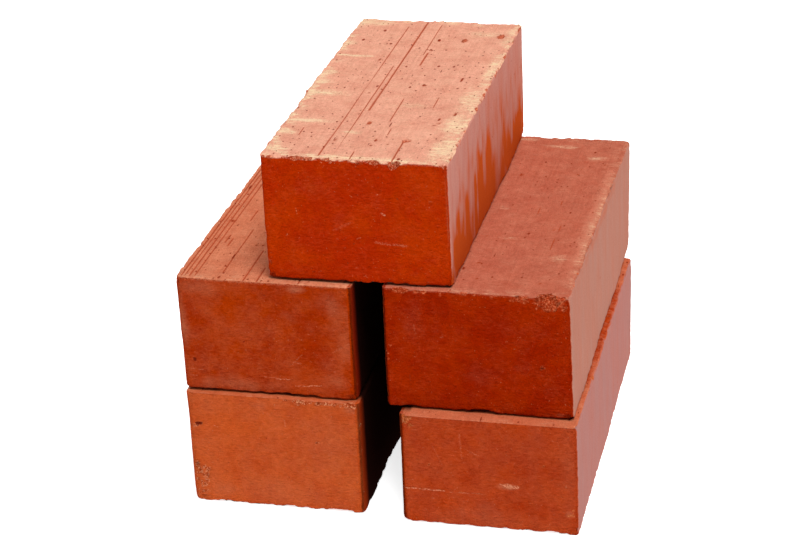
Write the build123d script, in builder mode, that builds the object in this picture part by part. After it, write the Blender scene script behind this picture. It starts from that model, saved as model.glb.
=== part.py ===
from build123d import *
from dataclasses import dataclass
from math import cos, radians, sin
import os

# A dry stack of five solid, wire-cut clay bricks: two columns of two, and a fifth brick laid
# across both. Nothing is bonded, so each upper brick lifts straight off the one it lies on.
# +Y runs along the bricks, from their front ends to their back ends, +X is to the right and
# +Z is up. The origin is the centre of the stack's footprint, on the ground. Millimetres.

# --- the nominal brick ---
brick_length = 225.0  # along Y
brick_width = 100.0  # along X
brick_height = 70.0  # along Z, from bed face to bed face
upright_radius = 4.0  # the die rounds the four upright arrises
bed_arris = 1.2  # wear round the edges of the two cut bed faces

# --- the stack ---
bottom_gap = 23.0  # between the two bottom bricks, at mid length
middle_gap = 17.0  # between the two middle bricks, at mid length
bottom_gap_shift = 4.5  # centre of the bottom gap, to the right of the middle gap's centre
top_shift = -5.5  # centre of the top brick, to the right of the middle gap's centre


@dataclass
class Brick:
    """One fired brick and how it was laid."""

    name: str
    fired: float  # its size after firing, as a share of the nominal size
    setback: float  # how far its front end lies behind the foremost one
    turn: float  # degrees about +Z, counter-clockwise from above
    x: float = 0.0  # its centre, filled in when it is laid
    y: float = 0.0
    bed_z: float = 0.0  # the height of the surface that it lies on

    @property
    def length(self):
        return self.fired * brick_length

    @property
    def width(self):
        return self.fired * brick_width

    @property
    def height(self):
        return self.fired * brick_height

    @property
    def top_z(self):
        return self.bed_z + self.height

    @property
    def reach_x(self):
        """Half of what the turned brick, with its rounded corners, takes up along X."""
        half_x = self.width / 2 - upright_radius
        half_y = self.length / 2 - upright_radius
        angle = radians(abs(self.turn))
        return half_x * cos(angle) + half_y * sin(angle) + upright_radius

    @property
    def reach_y(self):
        """Half of what the turned brick, with its rounded corners, takes up along Y."""
        half_x = self.width / 2 - upright_radius
        half_y = self.length / 2 - upright_radius
        angle = radians(abs(self.turn))
        return half_x * sin(angle) + half_y * cos(angle) + upright_radius


bottom_left = Brick("bottom_left_brick", fired=1.000, setback=4.0, turn=-0.25)
bottom_right = Brick("bottom_right_brick", fired=0.978, setback=0.0, turn=-0.50)
middle_left = Brick("middle_left_brick", fired=0.992, setback=7.0, turn=-0.25)
middle_right = Brick("middle_right_brick", fired=1.014, setback=8.0, turn=-0.75)
top = Brick("top_brick", fired=1.008, setback=11.5, turn=0.0)
stack = [bottom_left, bottom_right, middle_left, middle_right, top]


def lay_pair(left, right, gap, gap_centre):
    """Lays two bricks side by side with a gap between their facing sides."""
    left.x = gap_centre - gap / 2 - left.width / 2
    right.x = gap_centre + gap / 2 + right.width / 2


# Along X, from the middle gap's centre: the top brick bridges the gap.
lay_pair(middle_left, middle_right, middle_gap, 0.0)
lay_pair(bottom_left, bottom_right, bottom_gap, bottom_gap_shift)
top.x = top_shift

# Along Y, from the foremost front end.
for brick in stack:
    brick.y = brick.setback + brick.length / 2

# Up Z: each brick lies on the one below, and the top one on the taller column.
middle_left.bed_z = bottom_left.top_z
middle_right.bed_z = bottom_right.top_z
top.bed_z = max(middle_left.top_z, middle_right.top_z)

# The footprint's centre becomes the origin.
centre_x = (min(b.x - b.reach_x for b in stack) + max(b.x + b.reach_x for b in stack)) / 2
centre_y = (min(b.y - b.reach_y for b in stack) + max(b.y + b.reach_y for b in stack)) / 2
for brick in stack:
    brick.x -= centre_x
    brick.y -= centre_y


def fired_brick(brick):
    """A slab of the die's rounded outline, cut flat top and bottom by the wire."""
    along_width = Vector(1, 0, 0).rotate(Axis.Z, brick.turn)
    bed = Plane(origin=(brick.x, brick.y, brick.bed_z), x_dir=along_width, z_dir=(0, 0, 1))
    with BuildPart() as body:
        with BuildSketch(bed):
            RectangleRounded(brick.width, brick.length, upright_radius)
        extrude(amount=brick.height)
        lower_bed_edges = body.edges().group_by(Axis.Z)[0]
        upper_bed_edges = body.edges().group_by(Axis.Z)[-1]
        fillet(lower_bed_edges + upper_bed_edges, radius=bed_arris)
    body.part.label = brick.name
    return body.part


os.makedirs("parts", exist_ok=True)
for brick in stack:
    export_step(fired_brick(brick), f"parts/{brick.name}.step")
    print(
        f"{brick.name}: centre ({brick.x:.2f}, {brick.y:.2f}), beds at {brick.bed_z:.2f} and "
        f"{brick.top_z:.2f}, {brick.width:.2f} x {brick.length:.2f} x {brick.height:.2f}"
    )
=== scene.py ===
"""A dry stack of five solid, wire-cut clay bricks on a plain floor.

Each brick is one closed surface: a slab of the die's rounded outline, cut flat top and bottom by
the wire, then worn, chipped, pitted and dragged. Its finish is fired clay under a thin pale
bloom. Shapes are worked out in millimetres in the brick's own frame, whose origin is the middle
of its lower bed, with X across its width and Y along its length.
"""

import logging
from dataclasses import dataclass, field
from enum import Enum
from math import cos, hypot, radians, sin
from typing import Any, Callable, Mapping, Optional, Sequence, Union

import bpy
import numpy as np
from mathutils import Matrix, Vector


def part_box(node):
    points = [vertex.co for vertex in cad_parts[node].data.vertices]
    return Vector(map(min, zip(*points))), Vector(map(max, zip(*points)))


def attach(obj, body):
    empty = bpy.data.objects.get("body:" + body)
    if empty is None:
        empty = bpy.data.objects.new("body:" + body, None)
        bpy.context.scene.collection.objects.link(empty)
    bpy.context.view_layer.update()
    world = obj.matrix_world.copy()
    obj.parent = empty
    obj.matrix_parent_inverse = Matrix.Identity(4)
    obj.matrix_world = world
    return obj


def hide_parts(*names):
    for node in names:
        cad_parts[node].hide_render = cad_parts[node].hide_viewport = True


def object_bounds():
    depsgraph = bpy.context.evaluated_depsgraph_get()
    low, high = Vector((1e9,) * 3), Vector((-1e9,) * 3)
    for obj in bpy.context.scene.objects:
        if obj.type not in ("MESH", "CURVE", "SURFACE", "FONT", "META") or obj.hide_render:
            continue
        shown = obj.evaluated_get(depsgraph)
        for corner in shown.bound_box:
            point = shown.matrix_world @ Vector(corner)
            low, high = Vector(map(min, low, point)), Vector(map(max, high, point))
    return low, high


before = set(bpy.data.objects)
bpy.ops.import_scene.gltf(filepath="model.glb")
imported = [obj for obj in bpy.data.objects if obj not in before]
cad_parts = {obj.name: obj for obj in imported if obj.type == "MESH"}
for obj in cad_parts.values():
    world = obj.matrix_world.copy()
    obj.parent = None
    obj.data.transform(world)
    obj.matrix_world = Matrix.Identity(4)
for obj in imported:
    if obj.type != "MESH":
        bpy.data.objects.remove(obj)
cad_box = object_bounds()

log = logging.getLogger("brick_stack")

MM = 0.001  # one millimetre, in metres

Colour = tuple[float, float, float]
Array = np.ndarray


# ---- Patterns worked out as whole arrays ----


def hashed(corner: Array, seed: int) -> Array:
    """Gives each whole-number point of a lattice its own value from 0 to 1.

    The three indices and the seed are multiplied by large odd numbers, added, and their bits are
    mixed by shifts.

    Args:
        corner: Whole-number lattice points, one per row.
        seed: Picks one of many unrelated patterns.

    Returns:
        One value from 0 to 1 for each row.
    """
    index = corner.astype(np.int64).astype(np.uint32)
    mixed = index[:, 0] * np.uint32(374761393) + index[:, 1] * np.uint32(668265263)
    mixed = mixed + index[:, 2] * np.uint32(2246822519) + np.uint32((seed * 3266489917) % 2**32)
    mixed = (mixed ^ (mixed >> np.uint32(15))) * np.uint32(2246822519)
    mixed = (mixed ^ (mixed >> np.uint32(13))) * np.uint32(3266489917)
    mixed = mixed ^ (mixed >> np.uint32(16))
    return (mixed & np.uint32(0xFFFFFF)) / float(0xFFFFFF)


def cloud(points: Array, size: Union[float, Sequence[float]], seed: int, octaves: int = 1) -> Array:
    """Smooth noise from 0 to 1.

    Space is divided into cells of the given size. The value at a point is the blend of the
    hashed values at the eight corners of its cell, eased by 3t^2 - 2t^3 along each axis. Each
    further octave has cells half as large and counts half as much.

    Args:
        points: Points, one per row, in millimetres.
        size: Cell size in millimetres, the same along all axes or one for each.
        seed: Picks the pattern.
        octaves: How many layers are added.

    Returns:
        One value for each point.
    """
    total = np.zeros(len(points))
    weight = 0.0
    share = 1.0
    cell = np.broadcast_to(np.asarray(size, float), (3,))
    for octave in range(octaves):
        place = points / cell
        low = np.floor(place)
        part = place - low
        ease = part * part * (3.0 - 2.0 * part)
        value = np.zeros(len(points))
        for step in np.ndindex(2, 2, 2):
            near = np.array(step)
            blend = np.prod(np.where(near == 1, ease, 1.0 - ease), axis=1)
            value += blend * hashed(low + near, seed + 101 * octave)
        total += share * value
        weight += share
        share *= 0.5
        cell = cell * 0.5
    return total / weight


def ramp(value: Array, low: float, high: float) -> Array:
    """Eases from 0 at low to 1 at high, by 3t^2 - 2t^3."""
    part = np.clip((value - low) / (high - low), 0.0, 1.0)
    return part * part * (3.0 - 2.0 * part)


def spaced_lines(span: float, rim: float, fine: float, coarse: float, extra: Sequence[float]) -> Array:
    """Grid lines across a span: close together at both rims, wider apart between.

    Args:
        span: Length that the lines cover, centred on zero.
        rim: Width of the closely spaced band at each end.
        fine: Spacing in the bands.
        coarse: Spacing between the bands.
        extra: Further lines, such as those that follow a groove.

    Returns:
        The places of the lines, in rising order, with none nearer its neighbour than a third
        of the fine spacing.
    """
    half = span / 2
    rims = np.linspace(half - rim, half, round(rim / fine) + 1)
    middle_steps = round((span - 2 * rim) / coarse) + 1
    middle = np.linspace(rim - half, half - rim, middle_steps)
    inside = [value for value in extra if abs(value) < half - rim]
    lines = np.unique(np.concatenate([-rims, middle, rims, inside]))
    keep = np.concatenate([[True], np.diff(lines) > fine / 3])
    keep[-1] = True
    return lines[keep]


def box_skin(xs: Array, ys: Array, zs: Array) -> tuple[Array, Array]:
    """The closed skin of a box divided by grid lines.

    Every point of the lattice that lies on one of the six faces is numbered once, so that faces
    share the points of their edges. The four-sided cells of each face are listed with their
    corners in the order that turns them outwards.

    Args:
        xs: Grid lines along X.
        ys: Grid lines along Y.
        zs: Grid lines along Z.

    Returns:
        The points, one per row, and the cells, four point numbers per row.
    """
    shape = (len(xs), len(ys), len(zs))
    i, j, k = np.indices(shape)
    skin = (i % (shape[0] - 1) == 0) | (j % (shape[1] - 1) == 0) | (k % (shape[2] - 1) == 0)
    number = np.full(shape, -1)
    number[skin] = np.arange(skin.sum())
    points = np.stack([xs[i[skin]], ys[j[skin]], zs[k[skin]]], axis=1)
    outward = [number[:, :, -1], number[-1], number[:, 0]]
    inward = [number[:, :, 0], number[0], number[:, -1]]
    cells = []
    for sheets, turned in ((outward, False), (inward, True)):
        for sheet in sheets:
            loop = [sheet[:-1, :-1], sheet[1:, :-1], sheet[1:, 1:], sheet[:-1, 1:]]
            if turned:
                loop.reverse()
            cells.append(np.stack(loop, axis=-1).reshape(-1, 4))
    return points, np.concatenate(cells)


def point_normals(points: Array, cells: Array) -> Array:
    """Works out the normals: at each point, the sum of its cells' crossed diagonals.

    Args:
        points: Points, one per row.
        cells: Four point numbers per row, turned outwards.

    Returns:
        One outward direction of length 1 for each point.
    """
    diagonal_a = points[cells[:, 2]] - points[cells[:, 0]]
    diagonal_b = points[cells[:, 3]] - points[cells[:, 1]]
    cell_normals = np.cross(diagonal_a, diagonal_b)
    summed = np.zeros_like(points)
    for corner in range(4):
        np.add.at(summed, cells[:, corner], cell_normals)
    return summed / np.linalg.norm(summed, axis=1, keepdims=True)


# ---- Marks on a brick ----


class Face(Enum):
    """The six faces. A place on one is two shares: across it from the left, and along or up it."""

    TOP = "top"
    BOTTOM = "bottom"
    FRONT = "front"
    BACK = "back"
    LEFT = "left"
    RIGHT = "right"


@dataclass(frozen=True)
class Bite:
    """Clay missing from the surface: a chip on an arris, a pit or a torn hollow.

    across and along are shares of the face, as Face says. reach is the bite's half size, in
    millimetres, along X, Y and Z, lift is how far its centre stands out of the brick, rough is
    how uneven its outline is, dark how much painted shade lies inside it, and fresh how much torn
    clay it shows.
    """

    face: Face
    across: float
    along: float
    reach: tuple[float, float, float]
    lift: float = 0.0
    rough: float = 0.25
    dark: float = 0.0
    fresh: float = 1.0


@dataclass(frozen=True)
class Groove:
    """A line that a caught grain dragged along the upper bed.

    start and end are shares of the length, width and depth are in millimetres, and drift is how
    far the line leans across the bed, in widths to a length.
    """

    across: float
    start: float
    end: float
    width: float
    depth: float
    drift: float = 0.0


@dataclass(frozen=True)
class Patch:
    """A soft-edged area with more bloom or dust (positive) or with less of it (negative)."""

    face: Face
    across: float
    along: float
    half_across: float
    half_along: float
    amount: float


@dataclass(frozen=True)
class Scratch:
    """A fine straight mark on the front face, between two places in shares of the face.

    width is in millimetres, and amount is how pale the mark is, or how dark where it is negative.
    """

    start: tuple[float, float]
    end: tuple[float, float]
    width: float
    amount: float


# ---- Shader arithmetic ----


class Wire:
    """A value on its way through a material. Arithmetic on it adds Math nodes."""

    def __init__(self, bench: "Bench", socket: bpy.types.NodeSocket) -> None:
        """Wraps one output socket."""
        self.bench = bench
        self.socket = socket

    def _math(self, operation: str, first: Any, second: Any) -> "Wire":
        """One Math node on two values or wires."""
        return self.bench.node("ShaderNodeMath", {"operation": operation}, {0: first, 1: second})

    def output(self, name: str) -> "Wire":
        """Another output of the node that this wire comes from."""
        return Wire(self.bench, self.socket.node.outputs[name])

    def __add__(self, other: Any) -> "Wire":
        """Sum."""
        return self._math("ADD", self, other)

    def __radd__(self, other: Any) -> "Wire":
        """Sum, with the wire on the right."""
        return self._math("ADD", other, self)

    def __sub__(self, other: Any) -> "Wire":
        """Difference."""
        return self._math("SUBTRACT", self, other)

    def __rsub__(self, other: Any) -> "Wire":
        """Difference, with the wire on the right."""
        return self._math("SUBTRACT", other, self)

    def __mul__(self, other: Any) -> "Wire":
        """Product."""
        return self._math("MULTIPLY", self, other)

    def __rmul__(self, other: Any) -> "Wire":
        """Product, with the wire on the right."""
        return self._math("MULTIPLY", other, self)

    def __truediv__(self, other: Any) -> "Wire":
        """Quotient."""
        return self._math("DIVIDE", self, other)

    def most(self, other: Any) -> "Wire":
        """The larger of the two."""
        return self._math("MAXIMUM", self, other)

    def least(self, other: Any) -> "Wire":
        """The smaller of the two."""
        return self._math("MINIMUM", self, other)

    def held(self) -> "Wire":
        """The value kept between 0 and 1."""
        return self.bench.node("ShaderNodeClamp", {}, {"Value": self})

    def ease(self, low: Any, high: Any) -> "Wire":
        """Eases from 0 at low to 1 at high.

        Args:
            low: A number or a wire.
            high: The same; where both are plain numbers, it may be the smaller, and the ease falls.

        Returns:
            The eased value.
        """
        if isinstance(low, float) and isinstance(high, float) and low > high:
            return 1 - self.ease(high, low)
        settings = {"interpolation_type": "SMOOTHSTEP"}
        inputs = {"Value": self, "From Min": low, "From Max": high}
        return self.bench.node("ShaderNodeMapRange", settings, inputs)


class Bench:
    """The nodes of one material."""

    def __init__(self, name: str) -> None:
        """Starts an empty material.

        Args:
            name: The material's name.
        """
        self.material = bpy.data.materials.new(name)
        self.material.use_nodes = True
        self.nodes = self.material.node_tree.nodes
        self.links = self.material.node_tree.links
        self.nodes.clear()

    def node(
        self, kind: str, settings: Mapping[str, Any], inputs: Mapping[Any, Any], output: Any = 0
    ) -> Wire:
        """Adds one node.

        Args:
            kind: The node's type.
            settings: Its properties, set before its sockets are looked up.
            inputs: A value, a wire or a colour for each socket that isn't left as it is.
            output: The name or number of the output that is wanted.

        Returns:
            The wire from that output.
        """
        made = self.nodes.new(kind)
        for key, value in settings.items():
            setattr(made, key, value)
        for key, value in inputs.items():
            socket = made.inputs[key]
            if isinstance(value, Wire):
                self.links.new(value.socket, socket)
            elif socket.type == "RGBA":
                socket.default_value = (*value, 1.0)
            else:
                socket.default_value = value
        return Wire(self, made.outputs[output])

    def surface(self, shader: Wire) -> bpy.types.Material:
        """Sends the finished shader to the surface.

        Args:
            shader: The shader.

        Returns:
            The material.
        """
        made = self.nodes.new("ShaderNodeOutputMaterial")
        self.links.new(shader.socket, made.inputs["Surface"])
        return self.material

    def vector(self, operation: str, first: Any, second: Any) -> Wire:
        """One Vector Math node on two vectors or wires."""
        return self.node("ShaderNodeVectorMath", {"operation": operation}, {0: first, 1: second})

    def parts(self, vector: Wire) -> tuple[Wire, Wire, Wire]:
        """The three numbers of a vector."""
        x = self.node("ShaderNodeSeparateXYZ", {}, {"Vector": vector}, "X")
        return x, x.output("Y"), x.output("Z")

    def mix(self, base: Any, over: Any, amount: Any) -> Wire:
        """Lays one colour over another, by an amount from 0 to 1."""
        settings = {"data_type": "RGBA", "clamp_factor": True}
        return self.node("ShaderNodeMix", settings, {0: amount, 6: base, 7: over}, 2)

    def noise(self, at: Wire, size: float, detail: float = 2.0, rough: float = 0.55) -> Wire:
        """Cloudy noise with features of a size in millimetres; its middle value is 0.5."""
        inputs = {"Vector": at, "Scale": 1.0 / size, "Detail": detail, "Roughness": rough}
        return self.node("ShaderNodeTexNoise", {"noise_dimensions": "3D"}, inputs)

    def attribute(self, name: str) -> Wire:
        """A value that the mesh carries at its points."""
        return self.node("ShaderNodeAttribute", {"attribute_name": name}, {}, "Fac")


# ---- The finish ----


@dataclass(frozen=True)
class Ground:
    """What the layers of a finish share: the place in millimetres, the kind of face, the grain."""

    at: Wire
    bed: Wire
    head: Wire
    side: Wire
    speckle: Wire
    grain: Wire

    def by_face(self, head: float, bed: float, side: float) -> Wire:
        """The number that holds on each kind of face."""
        return self.head * head + self.bed * bed + self.side * side


@dataclass(frozen=True)
class FiredClay:
    """Red clay fired bare: two body tones, a thin pale bloom over them, and dust on the beds.

    The covers say how much of the body the bloom hides on each kind of face, and the mottles how
    unevenly it lies there. dusting and rim_dust are how much dust lies on the beds and along
    their rims, pitting how many pores and pits there are, chip_paleness how much pale crumb the
    chips show, crevices how much painted shade darkens their crevices, and rubbing how pale the
    arrises are rubbed. The crevice tone is painted shade in the chips and in hollows on the ends,
    and the near-black tone painted shade on the face towards the other column and at the feet.
    """

    deep: Colour
    warm: Colour
    bed_bloom: Colour
    head_cover: float
    head_mottle: float
    dusting: float
    smear: Colour = (0.54, 0.080, 0.013)
    head_bloom: Colour = (0.52, 0.16, 0.080)
    side_bloom: Colour = (0.52, 0.205, 0.16)
    dust: Colour = (1.0, 0.70, 0.44)
    torn: Colour = (0.48, 0.050, 0.011)
    crumb: Colour = (0.84, 0.23, 0.10)
    pore: Colour = (0.32, 0.034, 0.010)
    # painted shade: the near-black tone of the chips' crevices and of hollows in the ends
    crevice: Colour = (0.14, 0.008, 0.002)
    drag: Colour = (0.48, 0.075, 0.026)
    mark: Colour = (0.78, 0.30, 0.16)
    # painted shade: a near-black tone for the face towards the other column and for the feet
    painted_shade: Colour = (0.012, 0.003, 0.002)
    side_cover: float = 0.90
    bed_cover: float = 0.80
    side_mottle: float = 0.55
    bed_mottle: float = 0.70
    rim_dust: float = 0.2
    pitting: float = 1.0
    chip_paleness: float = 0.5
    # how much painted shade the chips' crevices get
    crevices: float = 0.4
    rubbing: float = 0.6
    roughness: float = 0.88

    PATTERN_STEP = (37.1, 17.3, 53.9)  # how far one seed shifts the patterns, in millimetres
    GRAIN_SHADE = (0.55, 0.40, 0.14)  # on the ends, the beds and the long sides, as by_face takes them
    GRAIN_RELIEF = (3.6, 1.2, 0.20)  # millimetres, like the reliefs below
    SPECKLE_SHADE = 0.45
    SPECKLE_RELIEF = (0.75, 0.75, 0.35)
    PORE_RELIEF = 0.6
    TORN_RELIEF = 0.9
    ROUGHNESS_SPREAD = 0.14
    END_FLECKS = 0.45  # pale flecks of bloom on the ends
    FINE_PORES = (3.8, 0.6, 0.20, 0.68)  # spacing, drawn, share and widest, as _cells takes them
    WIDE_PORES = (9.0, 0.5, 0.10, 1.15)
    GRIT_TAILS = (5.0, 0.10, 0.08, 0.5)

    def dress(self, brick: "Brick") -> bpy.types.Material:
        """Builds the material of one brick.

        Args:
            brick: The brick that wears it, which gives the pattern its place and its scratches.

        Returns:
            The finished material.
        """
        bench = Bench(f"fired_clay_{brick.name}")
        at = self._in_brick(bench, brick)
        shift = [brick.seed * step for step in self.PATTERN_STEP]
        ground = self._ground(bench, bench.vector("ADD", at, shift))
        pores = self._pores(bench, ground)

        skin = self._bloomed(bench, ground)
        skin = self._dusted(bench, skin, ground)
        skin = self._broken(bench, skin, ground)
        skin = bench.mix(skin, self.pore, pores.ease(0.05, 0.45) * 0.9)
        for scratch in brick.scratches:
            tone = self.mark if scratch.amount > 0 else self.pore
            mark = self._scratch(bench, at, scratch, brick)
            skin = bench.mix(skin, tone, mark * abs(scratch.amount))
        # painted shade on the face towards the other column and at the feet
        skin = bench.mix(skin, self.painted_shade, bench.attribute("painted_shade"))
        shade = 1 + ground.grain * ground.by_face(*self.GRAIN_SHADE)
        shade = shade + (ground.speckle - 0.5) * self.SPECKLE_SHADE
        skin = bench.node("ShaderNodeVectorMath", {"operation": "SCALE"}, {0: skin, "Scale": shade})

        relief = ground.grain * ground.by_face(*self.GRAIN_RELIEF)
        relief = relief + (ground.speckle - 0.5) * ground.by_face(*self.SPECKLE_RELIEF)
        relief = relief - pores * self.PORE_RELIEF
        crumbs = bench.noise(ground.at, 1.6, 3.0, 0.7) - 0.5
        relief = relief + bench.attribute("chip") * crumbs * self.TORN_RELIEF
        normal = bench.node("ShaderNodeBump", {}, {"Height": relief, "Distance": MM, "Strength": 1.0})
        rough = (ground.speckle * self.ROUGHNESS_SPREAD + (self.roughness - 0.05)).held()
        inputs = {"Base Color": skin, "Roughness": rough, "Normal": normal, "Specular IOR Level": 0.0}
        return bench.surface(bench.node("ShaderNodeBsdfPrincipled", {}, inputs))

    def _in_brick(self, bench: Bench, brick: "Brick") -> Wire:
        """Turns the object's coordinates into millimetres in the brick's own frame.

        Args:
            bench: The material's nodes.
            brick: The brick, whose turn and origin are undone.

        Returns:
            The place in the brick.
        """
        spot = bench.node("ShaderNodeTexCoord", {}, {}, "Object")
        turn = Matrix.Rotation(-radians(brick.turn), 3, "Z")
        inputs = {
            "Vector": spot,
            "Scale": (1 / MM, 1 / MM, 1 / MM),
            "Rotation": (0.0, 0.0, -radians(brick.turn)),
            "Location": -(turn @ brick.origin),
        }
        return bench.node("ShaderNodeMapping", {"vector_type": "POINT"}, inputs)

    def _ground(self, bench: Bench, at: Wire) -> Ground:
        """Sorts the three kinds of face and gives each its grain.

        The grain is noise drawn out across the ends, partly along the beds and softly up the
        long sides. Its middle value is 0, so that it raises no step where two faces meet.

        Args:
            bench: The material's nodes.
            at: The place in the brick, shifted by its seed.

        Returns:
            The values that the layers share.
        """
        bed = bench.attribute("bed")
        head = bench.attribute("head")
        side = (1 - bed - head).held()
        across = bench.noise(bench.vector("MULTIPLY", at, (0.42, 1, 1)), 1.15, 3.0, 0.62)
        along = bench.noise(bench.vector("MULTIPLY", at, (1, 0.03, 1)), 1.3, 2.0, 0.55)
        even = bench.noise(at, 2.2, 4.0, 0.68)
        upward = bench.noise(bench.vector("MULTIPLY", at, (1, 1, 0.14)), 3.5, 5.0, 0.62)
        grain = (across - 0.5) * head + (along * 0.3 + even * 0.7 - 0.5) * bed + (upward - 0.5) * side
        return Ground(at, bed, head, side, bench.noise(at, 0.75, 3.0, 0.7), grain)

    def _bloomed(self, bench: Bench, ground: Ground) -> Wire:
        """Clouds of the two body tones, under bloom that lies in clouds, grain and patches.

        Args:
            bench: The material's nodes.
            ground: The shared values.

        Returns:
            The colour.
        """
        wide_clouds = bench.noise(ground.at, 24.0, 4.0, 0.6)
        small_clouds = bench.noise(ground.at, 5.0, 3.0, 0.6)
        clouds = wide_clouds * 0.7 + small_clouds * 0.3
        body = bench.mix(self.deep, self.warm, clouds.ease(0.36, 0.64))
        body = bench.mix(body, self.smear, ground.side)
        base = ground.by_face(self.head_cover, self.bed_cover, self.side_cover)
        mottle = ground.by_face(self.head_mottle, self.bed_mottle, self.side_mottle)
        hung = bench.node("ShaderNodeCombineXYZ", {}, {"X": 1.0, "Y": 1.0, "Z": 1 - ground.side * 0.72})
        drifts = bench.noise(bench.vector("MULTIPLY", ground.at, hung), 13.0, 5.0, 0.62)
        drifts = (drifts - 0.5) * mottle
        fine = (ground.speckle - 0.5) * 0.40 + ground.grain * (0.40 - 0.20 * ground.side)
        fine = fine * (0.55 + 0.9 * ground.bed)
        flecks = bench.noise(ground.at, 1.3, 2.0, 0.6).ease(0.66, 0.76)
        flecks = flecks * ground.head * self.END_FLECKS
        cover = (base + drifts + fine + flecks + bench.attribute("patch")).held()
        bloom = bench.mix(self.side_bloom, self.bed_bloom, ground.bed)
        bloom = bench.mix(bloom, self.head_bloom, ground.head)
        return bench.mix(body, bloom, cover)

    def _cells(
        self, bench: Bench, ground: Ground, spacing: float, drawn: float, share: float, widest: float
    ) -> Wire:
        """One layer of pores, at most one to a cell of a flat cell pattern.

        The pattern lies on the face: its two directions are X and Y on the beds, X and Z on the
        ends, Y and Z on the sides. A pore falls from 1 at its cell's point to 0 at its own radius.

        Args:
            bench: The material's nodes.
            ground: The shared values.
            spacing: Size of the cells, in millimetres.
            drawn: How much of Y counts on the beds: a small share draws the pores out along it.
            share: Share of the cells that hold a pore on the beds.
            widest: Radius of the widest pore, in millimetres.

        Returns:
            How deep in a pore each place is, from 0 to 1.
        """
        wobble = bench.noise(ground.at, 1.1, 2.0).output("Color")
        x, y, z = bench.parts(bench.vector("ADD", ground.at, wobble))
        first = x * (1 - ground.side) + y * ground.side
        second = y * ground.bed * drawn + z * (1 - ground.bed)
        flat = bench.node("ShaderNodeCombineXYZ", {}, {"X": first, "Y": second})
        settings = {"voronoi_dimensions": "2D", "feature": "F1"}
        sockets = {"Vector": flat, "Scale": 1.0 / spacing, "Randomness": 1.0}
        far = bench.node("ShaderNodeTexVoronoi", settings, sockets, "Distance")
        chance = bench.node("ShaderNodeSeparateColor", {}, {"Color": far.output("Color")}, "Red")
        limit = (ground.bed * 0.96 + 0.04) * (share * self.pitting)
        picked = 1 - chance.ease(limit - 0.01, limit + 0.01)
        radius = (chance.output("Green") * 0.7 + 0.3) * (widest / spacing)
        return (1 - far / radius).held() * picked

    def _pores(self, bench: Bench, ground: Ground) -> Wire:
        """Fine pores, a few wide ones, and short tails where grit was drawn along the beds.

        Args:
            bench: The material's nodes.
            ground: The shared values.

        Returns:
            How deep in a pore each place is, from 0 to 1.
        """
        fine = self._cells(bench, ground, *self.FINE_PORES)
        wide = self._cells(bench, ground, *self.WIDE_PORES)
        tails = self._cells(bench, ground, *self.GRIT_TAILS) * ground.bed
        return fine.most(wide).most(tails)

    def _dusted(self, bench: Bench, skin: Wire, ground: Ground) -> Wire:
        """Lays pale crumbs and short rubbed strokes on the beds, where they are dusty or near a rim.

        Args:
            bench: The material's nodes.
            skin: The colour so far.
            ground: The shared values.

        Returns:
            The colour.
        """
        rim = bench.attribute("rim").ease(9.0, 0.5) * self.rim_dust + 0.06
        islands = bench.noise(ground.at, 7.0, 3.0, 0.6).ease(0.42, 0.60)
        crumbs = bench.noise(ground.at, 0.9, 3.0, 0.75).ease(0.50, 0.58)
        drawn = bench.noise(bench.vector("MULTIPLY", ground.at, (0.14, 1, 1)), 1.2, 2.0, 0.5)
        strokes = drawn.ease(0.53, 0.59)
        where = bench.attribute("dust") + rim * islands
        amount = where * (crumbs * 0.7 + strokes * 1.1 + 0.25) * ground.bed * self.dusting
        return bench.mix(skin, self.dust, amount.held())

    def _broken(self, bench: Bench, skin: Wire, ground: Ground) -> Wire:
        """Rubs the arrises pale, shows the torn body in the chips with painted shade in their crevices,
        darkens the grooves, and paints shade in the holes.

        Args:
            bench: The material's nodes.
            skin: The colour so far.
            ground: The shared values.

        Returns:
            The colour.
        """
        wear = bench.attribute("rim").ease(2.0, 0.2)
        crumbs = bench.noise(ground.at, 1.0, 3.0, 0.72)
        rubbed = bench.mix(skin, self.bed_bloom, wear * crumbs.ease(0.38, 0.60) * self.rubbing)
        inside = bench.mix(self.torn, self.crumb, crumbs.ease(0.48, 0.60) * self.chip_paleness)
        # painted shade in the chips' crevices, where the crumb noise is low
        inside = bench.mix(inside, self.crevice, (1 - crumbs.ease(0.38, 0.48)) * self.crevices)
        opened = bench.mix(rubbed, inside, bench.attribute("chip") * 0.92)
        opened = bench.mix(opened, self.drag, bench.attribute("groove").ease(0.20, 0.75) * 0.9)
        # painted shade in the hollows of pits: the pore tone on the beds and long sides, the crevice tone on
        # the ends
        hollow = bench.mix(self.pore, self.crevice, ground.head)
        return bench.mix(opened, hollow, bench.attribute("hole").ease(0.15, 0.7) * 0.92)

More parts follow.
